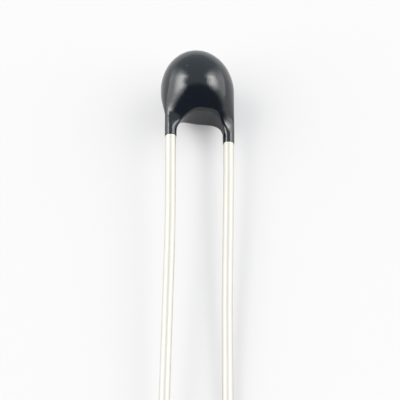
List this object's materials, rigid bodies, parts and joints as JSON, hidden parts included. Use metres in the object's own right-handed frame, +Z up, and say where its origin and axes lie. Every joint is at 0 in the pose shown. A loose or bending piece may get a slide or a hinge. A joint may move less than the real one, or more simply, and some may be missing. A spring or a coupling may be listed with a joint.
{
  "type": "ntc thermistor",
  "caption": "Glossy black epoxy-dipped bead thermistor with parallel bare wire leads for soldering, used to sense temperature.",
  "frame": {"origin": "on the surface the part lies on, under the line midway between the two sleeves, halfway along the length", "axes": "+Z up, +Y along the part towards the bead's dome, +X to the right seen from above with the bead at the far end"},
  "size_m": [0.0034, 0.031, 0.0029],
  "materials": {
    "epoxy": "glossy dipped epoxy",
    "tinned_wire": "bright tin plating",
    "chip_ceramic": "matte sintered oxide",
    "silver_film": "matte fired silver",
    "solder": "satin solder"
  },
  "bodies": {
    "root": {"epoxy_coating": "epoxy", "lead_left": "tinned_wire", "lead_right": "tinned_wire", "thermistor_chip": "chip_ceramic", "electrode_front": "silver_film", "electrode_back": "silver_film", "solder_front": "solder", "solder_back": "solder"}
  },
  "joints": []
}
